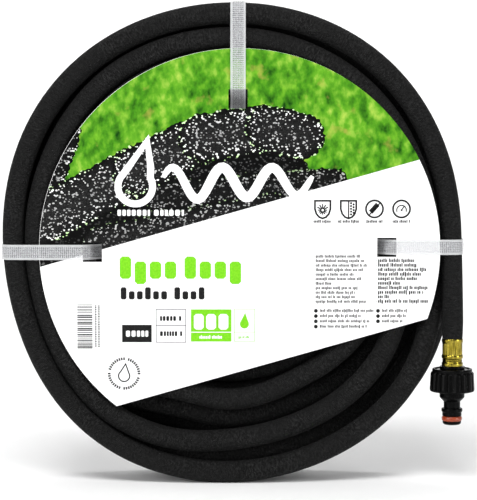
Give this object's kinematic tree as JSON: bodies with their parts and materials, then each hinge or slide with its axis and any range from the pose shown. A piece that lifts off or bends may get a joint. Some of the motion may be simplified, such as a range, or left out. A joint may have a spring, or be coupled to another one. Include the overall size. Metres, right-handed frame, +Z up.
{
  "type": "soaker hose",
  "caption": "Porous rubber soaker hose strapped in an upright coil with a round card, a ribbed tap adaptor on one end and a screw-on cap on the other.",
  "frame": {"origin": "on the floor under the middle of the object's bounding box, where the coil stands", "axes": "+Z up, the printed card faces -Y, the tap adaptor hangs on the +X side"},
  "size_m": [0.3585, 0.0748, 0.365],
  "materials": {
    "hose_rubber": "matt, pebbled",
    "ferrule_brass": "polished",
    "black_plastic": "moulded, satin gloss",
    "seal_rubber": "smooth, orange-red",
    "washer_rubber": "smooth",
    "card": "coated card, printed",
    "strap_weave": "woven ribbon"
  },
  "bodies": {
    "coil": {"hose_coil": "hose_rubber", "hose_end_front": "hose_rubber", "hose_end_rear": "hose_rubber", "tap_ferrule": "ferrule_brass", "tap_hose_insert": "black_plastic", "end_ferrule": "ferrule_brass", "end_hose_insert": "black_plastic", "printed_card": "card", "strap_top": "strap_weave", "strap_left": "strap_weave", "strap_right": "strap_weave"},
    "tap_washer_body": {"tap_washer": "washer_rubber"},
    "tap_adaptor_body": {"tap_adaptor": "black_plastic", "tap_nipple_seal": "seal_rubber"},
    "end_washer_body": {"end_washer": "washer_rubber"},
    "end_cap_body": {"end_cap": "black_plastic"}
  },
  "joints": [
    {"name": "tap_travel", "type": "slide", "parent": "coil", "child": "tap_washer_body", "axis": [0, 0, -1], "range_m": [0, 0.0083]},
    {"name": "tap_turn", "type": "hinge", "parent": "tap_washer_body", "child": "tap_adaptor_body", "pos_m": [0.16256, -0.02077, 0.07], "axis": [0, 0, -1], "range_deg": [0, 1620]},
    {"name": "cap_travel", "type": "slide", "parent": "coil", "child": "end_washer_body", "axis": [0.9693, 0.0625, 0.2377], "range_m": [0, 0.0083]},
    {"name": "cap_turn", "type": "hinge", "parent": "end_washer_body", "child": "end_cap_body", "pos_m": [0.02882, 0.0053, 0.11301], "axis": [0.9693, 0.0625, 0.2377], "range_deg": [0, 1620]}
  ],
  "couplings": [
    {"joint": "tap_travel", "follows": "tap_turn", "m_per_rad": 0.00028871},
    {"joint": "cap_travel", "follows": "cap_turn", "m_per_rad": 0.00028871}
  ]
}
